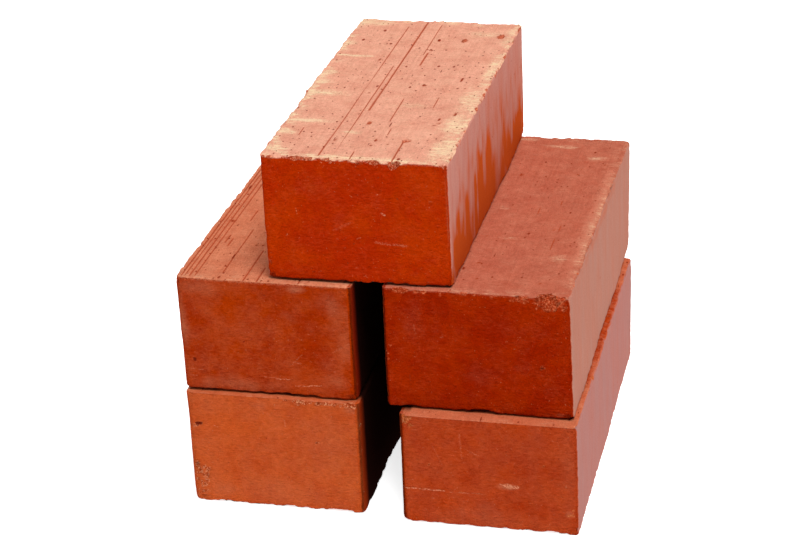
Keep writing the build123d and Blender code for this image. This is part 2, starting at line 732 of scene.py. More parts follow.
    def _scratch(self, bench: Bench, at: Wire, scratch: Scratch, brick: "Brick") -> Wire:
        """One mark on the front face.

        The nearest point of the line is found by the projection of the place on it, held
        between the two ends; the mark fades with the square of the distance from there.

        Args:
            bench: The material's nodes.
            at: The place in the brick.
            scratch: The mark.
            brick: The brick, whose front face gives the two ends their places.

        Returns:
            How strong the mark is, from 0 to 1.
        """
        x, y, z = bench.parts(at)
        x = x + (bench.noise(at, 1.3, 2.0) - 0.5) * 0.9
        z = z + (bench.noise(at, 3.0, 3.0) - 0.5) * 1.8
        start = brick.place(Face.FRONT, *scratch.start)
        end = brick.place(Face.FRONT, *scratch.end)
        span = hypot(end[0] - start[0], end[2] - start[2])
        step_x = (end[0] - start[0]) / span
        step_z = (end[2] - start[2]) / span
        along = ((x - start[0]) * step_x + (z - start[2]) * step_z).most(0.0).least(span)
        off_x = x - start[0] - along * step_x
        off_z = z - start[2] - along * step_z
        apart = off_x * off_x + off_z * off_z
        patchy = bench.noise(at, 0.8, 3.0, 0.75).ease(0.42, 0.62)
        front = -brick.length / 2
        on_front = 1 - y.ease(front + 2.0, front + 3.0)
        return (1 - apart.ease((scratch.width * 0.2) ** 2, scratch.width**2)) * patchy * on_front


# ---- The bricks ----


@dataclass
class Brick:
    """One worn brick, which takes its size and place from its solid. Millimetres.

    left_round and right_round are the radii of its upright arrises, arris of the upper bed's and
    foot of the lower bed's. ragged says how worn they are, lip how far the beds' torn skin hangs
    over the faces, and the foot shade how far the painted shade of the joint comes up from the
    foot. top_drop and foot_rise are how far the corners of the two beds are out of true, front
    left, front right, back left, back right. inner is the face that looks at the other column,
    which gets painted shade.
    """

    name: str
    body: str
    turn: float
    seed: int
    clay: FiredClay
    left_round: float = 4.6
    right_round: float = 3.2
    arris: float = 1.3
    foot: float = 1.4
    ragged: float = 1.0
    lip: float = 0.9
    # painted shade at the foot, as the shadow of the joint under the brick
    foot_shade: float = 0.4
    inner: Optional[Face] = None
    top_drop: tuple[float, float, float, float] = (0.0, 0.0, 0.0, 0.0)
    foot_rise: tuple[float, float, float, float] = (0.0, 0.0, 0.0, 0.0)
    flare: float = 0.0
    bites: Sequence[Bite] = ()
    grooves: Sequence[Groove] = ()
    patches: Sequence[Patch] = ()
    dustings: Sequence[Patch] = ()
    scratches: Sequence[Scratch] = ()
    width: float = field(init=False)
    length: float = field(init=False)
    height: float = field(init=False)
    origin: Vector = field(init=False)

    DIE_ROUND = 4.0  # the solid's upright arrises
    RIM = 7.0  # the band beside each arris that is divided finely
    FINE = 0.5
    COARSE = 1.15
    SLOW_WANDER = 1.5  # how far the faces wander, over a hand's width and over a finger's
    QUICK_WANDER = 0.30
    BED_LOSS = 0.10
    BED_HOLLOWS = 0.30
    LUMP_LOSS = 1.5  # how much clay the worn arrises lose
    GRIT_RELIEF = 0.7
    DRAG_DEPTH = 0.16  # the fine lines on the beds
    SKIN_LIFT = 0.35  # the torn skin that hangs over the faces
    CHIP_SPACING = 5.5  # one small chip to this much of a level arris
    UPRIGHT_CHIPS = 9
    BED_PITS = 22
    # painted shade on the face towards the other column: how far it goes onto the beds and round the
    # arrises, and how strong it is at the ends
    SHADE_ON_BED = 5.0  # how far round an arris the inner face's dark goes
    SHADE_ON_FACE = 0.4
    SHADE_AT_ENDS = 0.62
    # painted shade: bloom taken off the face towards the other column, so that the gap looks dark
    GAP_SHADE = 1.2  # bloom that the inner face lacks

    def __post_init__(self) -> None:
        """Finds the brick's own size inside the upright box of its turned solid.

        Half the box is half the width times the cosine of the turn plus half the length times
        its sine along X, and the other way round along Y, both beyond the rounded corners.
        """
        low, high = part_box(self.name)
        span = (high - low) / MM
        angle = radians(abs(self.turn))
        shares = [[cos(angle), sin(angle)], [sin(angle), cos(angle)]]
        reach = [span.x / 2 - self.DIE_ROUND, span.y / 2 - self.DIE_ROUND]
        half = np.linalg.solve(shares, reach) + self.DIE_ROUND
        self.width = 2 * float(half[0])
        self.length = 2 * float(half[1])
        self.height = span.z
        middle = (low + high) / (2 * MM)
        self.origin = Vector((middle.x, middle.y, low.z / MM))

    def place(self, face: Face, across: float, along: float) -> Array:
        """A place on a face, in the brick's own frame.

        Args:
            face: Which face.
            across: Share of the face from its left, or from the front on the two long sides.
            along: Share of the face from the front on the beds, and from below on the others.

        Returns:
            The point, in millimetres.
        """
        x = (across - 0.5) * self.width
        y = (across - 0.5) * self.length
        z = along * self.height
        spots = {
            Face.TOP: (x, (along - 0.5) * self.length, self.height),
            Face.BOTTOM: (x, (along - 0.5) * self.length, 0.0),
            Face.FRONT: (x, -self.length / 2, z),
            Face.BACK: (x, self.length / 2, z),
            Face.LEFT: (-self.width / 2, y, z),
            Face.RIGHT: (self.width / 2, y, z),
        }
        return np.array(spots[face])

    def outward(self, spot: Array) -> Array:
        """The direction out of the brick at a place on it.

        Args:
            spot: The place, on one face, or on two or three where they meet.

        Returns:
            The mean direction of those faces, of length 1.
        """
        limits = np.array([self.width / 2, self.length / 2, self.height / 2])
        offset = spot - np.array([0.0, 0.0, self.height / 2])
        on_face = np.abs(np.abs(offset) - limits) < 0.5
        direction = np.sign(offset) * on_face
        return direction / np.linalg.norm(direction)

    def lattice(self) -> tuple[Array, Array]:
        """Divides the sharp slab's skin, finely near its arrises and along its grooves.

        Returns:
            The points and the cells, as box_skin gives them.
        """
        beside = (-1.0, -0.4, 0.0, 0.4, 1.0)
        lines = [(g.across - 0.5) * self.width + step for g in self.grooves for step in beside]
        xs = spaced_lines(self.width, self.RIM, self.FINE, self.COARSE, lines)
        ys = spaced_lines(self.length, self.RIM, self.FINE, self.COARSE * 1.25, ())
        zs = spaced_lines(self.height, self.RIM, self.FINE, self.COARSE, ()) + self.height / 2
        return box_skin(xs, ys, zs)

    def eased(self, sharp: Array) -> Array:
        """Rounds the slab's arrises.

        In plan, a point within the corner radius of the outline is kept at its depth under the
        outline but moved from a square ring round the corner's centre to a circular one. Near a
        bed, its depths under the outline and under the bed are moved in the same way, with the
        smaller radius of the worn arris.

        Args:
            sharp: Points on the sharp slab.

        Returns:
            The moved points.
        """
        upper = sharp[:, 2] > self.height / 2
        worn = np.where(upper, self.arris, self.foot)
        worn = worn * (0.55 + 0.9 * cloud(sharp, (9.0, 9.0, 30.0), self.seed + 5, 3))
        round_plan = np.where(sharp[:, 0] < 0, self.left_round, self.right_round)
        core_x = np.clip(sharp[:, 0], round_plan - self.width / 2, self.width / 2 - round_plan)
        core_y = np.clip(sharp[:, 1], round_plan - self.length / 2, self.length / 2 - round_plan)
        out_x = sharp[:, 0] - core_x
        out_y = sharp[:, 1] - core_y
        ring = np.maximum(np.abs(out_x), np.abs(out_y))
        beyond = np.maximum(np.hypot(out_x, out_y), 1e-9)
        under_outline = round_plan - ring
        under_bed = np.where(upper, self.height - sharp[:, 2], sharp[:, 2])
        worn = np.minimum(worn, round_plan * 0.9)
        near_outline = np.clip(worn - under_outline, 0.0, None)
        near_bed = np.clip(worn - under_bed, 0.0, None)
        diagonal = np.maximum(np.hypot(near_outline, near_bed), 1e-9)
        square = np.maximum(near_outline, near_bed)
        ring = ring - near_outline * (1.0 - square / diagonal)
        under_bed = under_bed + near_bed * (1.0 - square / diagonal)
        x = core_x + out_x / beyond * ring
        y = core_y + out_y / beyond * ring
        z = np.where(upper, self.height - under_bed, under_bed)
        return np.stack([x, y, z], axis=1)

    def edge_distance(self, sharp: Array) -> Array:
        """Distance to the nearest arris.

        Args:
            sharp: Points on the sharp slab.

        Returns:
            The second smallest of each point's depths under the three pairs of faces.
        """
        half = np.array([self.width, self.length, self.height]) / 2
        depth = half - np.abs(sharp - np.array([0.0, 0.0, self.height / 2]))
        return np.sort(depth, axis=1)[:, 1]

    def rim_distance(self, sharp: Array) -> Array:
        """Distance to the nearest arris of the upper bed, or a few millimetres more to the lower's.

        Args:
            sharp: Points on the sharp slab.

        Returns:
            On the beds, the depth under the outline; on the faces, the depth under the bed.
        """
        under_outline = np.minimum(
            self.width / 2 - np.abs(sharp[:, 0]), self.length / 2 - np.abs(sharp[:, 1])
        )
        under_bed = np.minimum(self.height - sharp[:, 2], sharp[:, 2] + 4.0)
        return np.minimum(np.maximum(under_outline, under_bed), 40.0)

    def warped(self, points: Array, normals: Array) -> Array:
        """Takes the slab out of true, as drying and firing do.

        The faces wander by a slow noise, the beds only inwards. Each bed also tilts towards its
        corners, by the four corner depths blended across the bed, and the front of the right
        face leans out towards its foot by the flare.

        Args:
            points: Points on the slab.
            normals: Their outward normals.

        Returns:
            The moved points.
        """
        slow = cloud(points, 55.0, self.seed + 11, 2) - 0.5
        middling = cloud(points, 9.0, self.seed + 12, 2) - 0.5
        level = np.abs(normals[:, 2])
        wander = (slow * self.SLOW_WANDER + middling * self.QUICK_WANDER) * (1.0 - level)
        hollows = cloud(points, 14.0, self.seed + 13, 2)
        wander -= level * (self.BED_LOSS + self.BED_HOLLOWS * hollows)
        moved = points + normals * wander[:, None]
        right = points[:, 0] / self.width + 0.5
        back = points[:, 1] / self.length + 0.5
        high = points[:, 2] / self.height
        corners = [(1 - right) * (1 - back), right * (1 - back), (1 - right) * back, right * back]
        drop = sum(part * depth for part, depth in zip(corners, self.top_drop))
        rise = sum(part * depth for part, depth in zip(corners, self.foot_rise))
        moved[:, 2] += rise * (1 - high) - drop * high
        moved[:, 0] += self.flare * right * (1 - back) * (1 - high)
        return moved

    def crumbled(self, points: Array, normals: Array, edge: Array) -> Array:
        """Wears the arrises unevenly.

        Lumps of noise are lost in some stretches more than in others, and a fine roughness is
        added. Both fade with the distance from the arris, and the upright arrises lose less.

        Args:
            points: Points on the brick.
            normals: Their outward normals.
            edge: Their distances from the nearest arris.

        Returns:
            The moved points.
        """
        lumps = ramp(cloud(points, (4.2, 4.2, 3.0), self.seed + 21, 3), 0.40, 0.68)
        stretches = 0.30 + 0.95 * ramp(cloud(points, 20.0, self.seed + 22), 0.35, 0.65)
        upright = ramp(np.minimum(points[:, 2], self.height - points[:, 2]), 3.0, 8.0)
        loss = self.LUMP_LOSS * lumps * stretches * np.exp(-edge / 1.5) * (1.0 - 0.65 * upright)
        grit = self.GRIT_RELIEF * (cloud(points, 1.5, self.seed + 23, 2) - 0.5) * np.exp(-edge / 1.8)
        return points - normals * ((loss + grit) * self.ragged)[:, None]

    def random_bites(self) -> list[Bite]:
        """Scatters chips along the arrises, many small and few large, and pits in the beds.

        Returns:
            The bites.
        """
        dice = np.random.default_rng(self.seed)
        found = []
        for face in (Face.FRONT, Face.BACK, Face.LEFT, Face.RIGHT):
            sideways = face in (Face.LEFT, Face.RIGHT)
            run = self.length if sideways else self.width
            for along in (0.0, 1.0):
                for _ in range(round(run / self.CHIP_SPACING)):
                    size = (0.5 + 2.2 * dice.random() ** 4) * self.ragged
                    stretched = size * (1.0 + 1.2 * dice.random())
                    reach = (size, stretched, size * 0.8) if sideways else (stretched, size, size * 0.8)
                    found.append(Bite(face, dice.random(), along, reach, lift=size * 0.45, rough=0.4))
        for face in (Face.FRONT, Face.BACK):
            for across in (0.0, 1.0):
                for _ in range(self.UPRIGHT_CHIPS):
                    size = (0.5 + 1.1 * dice.random() ** 2) * self.ragged
                    reach = (size, size, size * (1.0 + dice.random()))
                    lift = size * 0.55
                    found.append(Bite(face, across, dice.random(), reach, lift, rough=0.4, fresh=0.25))
        for face in (Face.TOP, Face.BOTTOM):
            for _ in range(round(self.BED_PITS * self.clay.pitting)):
                size = 0.45 + 0.5 * dice.random() ** 2
                spot = dice.random(2) * 0.92 + 0.04
                reach = (size, size * (1.2 + dice.random()), size * 1.2)
                found.append(Bite(face, float(spot[0]), float(spot[1]), reach, lift=size * 0.6, dark=0.5))
        return found

    def bitten(self, points: Array) -> tuple[Array, Array, Array]:
        """Takes the chips and pits out of the surface.

        Each is an ellipsoid roughened by noise. A point inside it moves straight away from the
        ellipsoid's centre, which lies outside the brick, until it is on the ellipsoid.

        Args:
            points: Points on the brick.

        Returns:
            The moved points, how freshly broken each is, which is less near the foot, and how much
            painted shade of a hollow it gets, from 0 to 1.
        """
        moved = points.copy()
        fresh = np.zeros(len(points))
        hollow = np.zeros(len(points))
        for number, bite in enumerate([*self.bites, *self.random_bites()]):
            spot = self.place(bite.face, bite.across, bite.along)
            reach = np.array(bite.reach)
            centre = spot + self.outward(spot) * bite.lift
            offset = moved - centre
            near = np.flatnonzero(np.all(np.abs(offset) < reach * 1.4, axis=1))
            if not len(near):
                continue
            offset = offset[near]
            far = np.maximum(np.linalg.norm(offset / reach, axis=1), 1e-6)
            rough = 1.0 + bite.rough * (2.0 * cloud(moved[near], 1.7, self.seed + number, 2) - 1.0)
            push = np.maximum(rough / far, 1.0)
            moved[near] = centre + offset * push[:, None]
            inside = ramp(rough - far, 0.0, 0.25)
            paler = bite.fresh * (0.10 + 0.90 * ramp(moved[near, 2], 2.0, 8.0))
            fresh[near] = np.maximum(fresh[near], inside * paler)
            hollow[near] = np.maximum(hollow[near], inside * bite.dark)
        return moved, fresh, hollow

    def dragged(self, points: Array, normals: Array) -> tuple[Array, Array]:
        """Sinks the grooves and the fine drag lines into the beds.

        A groove's section is a bell curve about its line, and it fades out over its last few
        millimetres. The fine lines are noise drawn out along the length.

        Args:
            points: Points on the brick.
            normals: Their outward normals.

        Returns:
            The moved points, and how deep in a groove each is, from 0 to 1.
        """
        level = ramp(np.abs(normals[:, 2]), 0.6, 0.9)
        lines = cloud(points * np.array([1.0, 0.012, 1.0]), 2.6, self.seed + 31, 2)
        sink = self.DRAG_DEPTH * ramp(lines, 0.45, 0.85) * level
        share = points[:, 1] / self.length + 0.5
        top = level * (points[:, 2] > self.height / 2)
        marked = np.zeros(len(points))
        for groove in self.grooves:
            line = (groove.across - 0.5 + groove.drift * (share - groove.end)) * self.width
            off = (points[:, 0] - line) / groove.width
            length_mask = ramp(share, groove.start - 0.004, groove.start + 0.012)
            length_mask = length_mask * ramp(share, groove.end + 0.004, groove.end - 0.012)
            cut = np.exp(-(off**2)) * length_mask * top
            sink += groove.depth * cut
            marked = np.maximum(marked, cut)
        moved = points.copy()
        moved[:, 2] -= sink * np.sign(normals[:, 2])
        return moved, marked

    def overhang(self, sharp: Array, bed: Array) -> Array:
        """Finds where the torn skin of the upper bed hangs over the faces beside it.

        Its hem lies as far under the arris as the lip's size times an uneven noise.

        Args:
            sharp: Points on the sharp slab.
            bed: How much of a bed each point is, from 0 to 1.

        Returns:
            1 on the hanging skin and 0 elsewhere.
        """
        under_top = self.height - sharp[:, 2]
        hem = self.lip * ramp(cloud(sharp, (6.0, 6.0, 400.0), self.seed + 51, 4), 0.34, 0.66)
        return ramp(hem - under_top, -0.3, 0.3) * (1.0 - bed)

    def painted_shade_mask(self, sharp: Array) -> Array:
        """Paints shade on the face that looks at the other column, and at the foot.

        The inner face gets painted shade, partly at its two ends and fully along its middle, and the
        shade reaches a little way onto the beds there. The foot gets painted shade near the two ends,
        as the shadow of the joint, up to the foot shade's height times an uneven noise.

        Args:
            sharp: Points on the sharp slab.

        Returns:
            How much painted shade each point gets, from 0 to 1.
        """
        from_ends = self.length / 2 - np.abs(sharp[:, 1])
        on_bed = (sharp[:, 2] < 0.01) | (sharp[:, 2] > self.height - 0.01)
        reach = np.where(on_bed, self.SHADE_ON_BED, self.SHADE_ON_FACE)
        shade = np.where(on_bed, 0.0, self.SHADE_AT_ENDS)
        inner = self.facing_in(sharp, reach) * (shade + (1.0 - shade) * ramp(from_ends, 3.0, 11.0))
        # painted shade at the foot near the ends, as the shadow of the joint
        hem = self.foot_shade * (2.6 * cloud(sharp, (8.0, 8.0, 400.0), self.seed + 61, 4) - 0.4)
        foot = ramp(hem - sharp[:, 2], -0.35, 0.35) * ramp(4.0 - from_ends, 0.0, 2.0)
        return np.maximum(inner, foot * 0.92)

    def facing_in(self, sharp: Array, reach: Union[float, Array]) -> Array:
        """Finds the face that looks at the other column.

        Args:
            sharp: Points on the sharp slab.
            reach: How far round its arrises the face is taken to go, in millimetres.

        Returns:
            1 on that face, 0 elsewhere.
        """
        if self.inner is None:
            return np.zeros(len(sharp))
        outside = sharp[:, 0] * self.outward_of(self.inner)[0]
        under = self.width / 2 - outside - reach
        return ramp(-under, -1.5, 0.0)

    def patchiness(self, sharp: Array, patches: Sequence[Patch]) -> Array:
        """Sums patches: ellipses on their faces, with borders broken by noise.

        Args:
            sharp: Points on the sharp slab.
            patches: The patches.

        Returns:
            Their summed amount at each point.
        """
        ragged = cloud(sharp, (5.0, 5.0, 16.0), self.seed + 41, 4) - 0.5
        total = np.zeros(len(sharp))
        for patch in patches:
            spot = self.place(patch.face, patch.across, patch.along)
            flat = np.abs(self.outward_of(patch.face))
            reach = self.face_reach(patch)
            far = np.linalg.norm((sharp - spot) * (1 - flat) / reach, axis=1)
            on_face = np.abs((sharp - spot) @ flat) < 2.0
            total += patch.amount * ramp(1.0 - far + ragged * 0.9, 0.0, 1.0) * on_face
        return total

    def outward_of(self, face: Face) -> Array:
        """The outward direction of a whole face."""
        return self.outward(self.place(face, 0.5, 0.5))

    def face_reach(self, patch: Patch) -> Array:
        """A patch's half sizes along the brick's own axes.

        Args:
            patch: The patch.

        Returns:
            Millimetres along X, Y and Z, with 1 through the face.
        """
        if patch.face in (Face.TOP, Face.BOTTOM):
            return np.array([patch.half_across, patch.half_along, 1.0])
        if patch.face in (Face.FRONT, Face.BACK):
            return np.array([patch.half_across, 1.0, patch.half_along])
        return np.array([1.0, patch.half_across, patch.half_along])

    def build(self) -> bpy.types.Object:
        """Makes the brick's skin and dresses it.

        Returns:
            The finished object, at the origin, with its place in its mesh.
        """
        sharp, cells = self.lattice()
        edge = self.edge_distance(sharp)
        points = self.eased(sharp)
        normals = point_normals(points, cells)
        bed = ramp(normals[:, 2], 0.45, 0.75) + ramp(-normals[:, 2], 0.90, 0.98)
        lip = self.overhang(sharp, bed)
        bed = np.maximum(bed, lip)
        endways = np.abs(normals[:, 1]) / np.maximum(np.hypot(normals[:, 0], normals[:, 1]), 1e-6)
        head = (1.0 - bed) * ramp(endways, 0.35, 0.60)
        points = self.warped(points, normals)
        points, groove = self.dragged(points, normals)
        points = points + normals * (self.SKIN_LIFT * lip)[:, None]
        points = self.crumbled(points, normals, edge)
        points, chip, hole = self.bitten(points)
        turn = np.array(Matrix.Rotation(radians(self.turn), 3, "Z"))
        placed = (points @ turn.T + np.array(self.origin)) * MM
        mesh = skin_mesh(f"{self.name}_clay", placed, cells)
        values = {
            "bed": bed,
            "head": head,
            "rim": self.rim_distance(sharp),
            "chip": chip,
            "hole": hole,
            # painted shade in the gap between the columns and at the feet
            "painted_shade": self.painted_shade_mask(sharp),
            "groove": groove,
            # the face towards the other column loses bloom, as painted shade in the gap
            "patch": self.patchiness(sharp, self.patches) - self.GAP_SHADE * self.facing_in(sharp, 1.0),
            "dust": self.patchiness(sharp, self.dustings),
        }
        for name, value in values.items():
            mesh.attributes.new(name, "FLOAT", "POINT").data.foreach_set("value", value.astype(np.float32))
        piece = bpy.data.objects.new(f"{self.name}_clay", mesh)
        bpy.context.scene.collection.objects.link(piece)
        mesh.materials.append(self.clay.dress(self))
        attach(piece, self.body)
        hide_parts(self.name)
        return piece


def skin_mesh(name: str, points: Array, cells: Array) -> bpy.types.Mesh:
    """Puts points and four-sided cells into a smooth-shaded mesh.

    Args:
        name: The mesh's name.
        points: Points, one per row, in metres.
        cells: Four point numbers per row, turned outwards.

    Returns:
        The mesh.
    """
    mesh = bpy.data.meshes.new(name)
    mesh.vertices.add(len(points))
    mesh.vertices.foreach_set("co", points.astype(np.float32).ravel())
    mesh.loops.add(cells.size)
    mesh.loops.foreach_set("vertex_index", cells.astype(np.int32).ravel())
    mesh.polygons.add(len(cells))
    mesh.polygons.foreach_set("loop_start", np.arange(0, cells.size, 4, dtype=np.int32))
    mesh.update(calc_edges=True)
    mesh.shade_smooth()
    return mesh


# ---- Floor, light and camera ----


@dataclass(frozen=True)
class Studio:
    """A plain white floor, a white surround and one wide soft lamp overhead. Metres and degrees."""

    floor_half: float = 6.0
    floor_white: float = 0.86
    floor_glow: float = 0.75
    surround: float = 0.32
    lamp_strength: float = 2.75
    lamp_softness: float = 28.0
    lamp_azimuth: float = 35.0
    lamp_height: float = 68.0

    def lay_floor(self) -> None:
        """Makes the floor: one square whose corners are plus or minus its half size."""
        half = self.floor_half
        corners = np.array([[-half, -half, 0], [half, -half, 0], [half, half, 0], [-half, half, 0]])
        mesh = skin_mesh("studio_floor", corners, np.array([[0, 1, 2, 3]]))
        bench = Bench("white_floor")
        white = (self.floor_white,) * 3
        inputs = {"Base Color": white, "Roughness": 0.9, "Emission Color": (1.0, 1.0, 1.0)}
        inputs["Emission Strength"] = self.floor_glow
        bench.surface(bench.node("ShaderNodeBsdfPrincipled", {}, inputs))
        mesh.materials.append(bench.material)
        floor = bpy.data.objects.new("studio_floor", mesh)
        bpy.context.scene.collection.objects.link(floor)

    def light(self) -> None:
        """Sets the white surround and hangs the lamp, which shines from its azimuth and height."""
        world = bpy.data.worlds.new("white_surround")
        world.use_nodes = True
        backdrop = world.node_tree.nodes["Background"]
        backdrop.inputs["Color"].default_value = (1.0, 1.0, 1.0, 1.0)
        backdrop.inputs["Strength"].default_value = self.surround
        bpy.context.scene.world = world
        lamp = bpy.data.lights.new("overhead_lamp", "SUN")
        lamp.energy = self.lamp_strength
        lamp.angle = radians(self.lamp_softness)
        hung = bpy.data.objects.new("overhead_lamp", lamp)
        hung.rotation_euler = towards(self.lamp_azimuth, self.lamp_height).to_track_quat("Z", "Y").to_euler()
        bpy.context.scene.collection.objects.link(hung)


@dataclass(frozen=True)
class Viewpoint:
    """Where the camera stands. Azimuth 0 looks along +Y; metres, degrees and a 36 mm film."""

    azimuth: float = 14.0
    height: float = 25.0
    roll: float = -2.68
    distance: float = 1.2261
    lens: float = 94.25
    aim: tuple[float, float, float] = (-0.0112, -0.0065, -0.0077)

    def set_camera(self) -> None:
        """Aims the camera at a point given from the middle of the object's box, then rolls it."""
        low, high = cad_box
        middle = (Vector(low) + Vector(high)) / 2
        back = towards(self.azimuth, self.height)
        right = Vector((0.0, 0.0, 1.0)).cross(back).normalized()
        upright = Matrix((right, back.cross(right), back)).transposed()
        rolled = upright @ Matrix.Rotation(radians(self.roll), 3, "Z")
        camera = bpy.data.objects.new("camera", bpy.data.cameras.new("camera"))
        camera.data.lens = self.lens
        camera.data.sensor_width = 36.0
        place = middle + Vector(self.aim) + back * self.distance
        camera.matrix_world = Matrix.Translation(place) @ rolled.to_4x4()
        bpy.context.scene.collection.objects.link(camera)
        bpy.context.scene.camera = camera


def towards(azimuth: float, height: float) -> Vector:
    """The direction from the object to something at an azimuth and a height, in degrees."""
    flat = cos(radians(height))
    return Vector((sin(radians(azimuth)) * flat, -cos(radians(azimuth)) * flat, sin(radians(height))))


# ---- The five bricks as laid ----


def pit(face: Face, across: float, along: float, wide: float, tall: float, dark: float = 0.7) -> Bite:
    """An open hollow in a face.

    Args:
        face: The face it lies in.
        across: Its place, as Face says.
        along: Its place, as Face says.
        wide: Its width in millimetres.
        tall: Its height, or its length on a bed, in millimetres.
        dark: How much painted shade lies inside it, from 0 to 1.

    Returns:
        The hollow, whose centre stands half its depth out of the brick.
    """
    deep = (wide + tall) / 4
    reach_across = wide * 0.55
    reach_along = tall * 0.55
    if face in (Face.TOP, Face.BOTTOM):
        reach = (reach_across, reach_along, deep)
    elif face in (Face.FRONT, Face.BACK):
        reach = (reach_across, deep, reach_along)
    else:
        reach = (deep, reach_across, reach_along)
    return Bite(face, across, along, reach, lift=deep * 0.5, dark=dark)


def chip(face: Face, across: float, along: float, long: float, deep: float, fresh: float = 1.0) -> Bite:
    """A chip off an arris of the front or back face, of a length and a depth in millimetres."""
    return Bite(face, across, along, (long / 2, deep, deep), lift=deep * 0.35, rough=0.4, fresh=fresh)


def marks(kind: Callable[..., Any], *rows: tuple[Any, ...]) -> list[Any]:
    """One mark of a kind from each row, whose values come in the order that the kind takes them."""
    return [kind(*row) for row in rows]


def marks_on(kind: Callable[..., Any], face: Face, *rows: tuple[Any, ...]) -> list[Any]:
    """The same for marks on one face, which the rows then leave out."""
    return [kind(face, *row) for row in rows]


def rubble(
    face: Face,
    middle: tuple[float, float],
    spread: tuple[float, float],
    count: int,
    largest: float,
    seed: int,
    dark: float = 0.0,
) -> list[Bite]:
    """A rough place: many small bites scattered about its middle.

    Args:
        face: The face it lies on.
        middle: Its place, as Face says.
        spread: Its half sizes, in shares of the face.
        count: How many bites it has.
        largest: Half size of the largest, in millimetres.
        seed: Picks the scatter.
        dark: How much painted shade lies inside the bites, from 0 to 1.

    Returns:
        The bites, most of them small.
    """
    dice = np.random.default_rng(seed)
    found = []
    for _ in range(count):
        across, along = np.clip(np.array(middle) + np.array(spread) * dice.uniform(-1, 1, 2), 0.0, 1.0)
        size = largest * (0.35 + 0.65 * dice.random() ** 2)
        reach = tuple(size * dice.uniform(0.7, 1.5, 3))
        lift = size * 0.45
        found.append(Bite(face, float(across), float(along), reach, lift, rough=0.45, dark=dark))
    return found


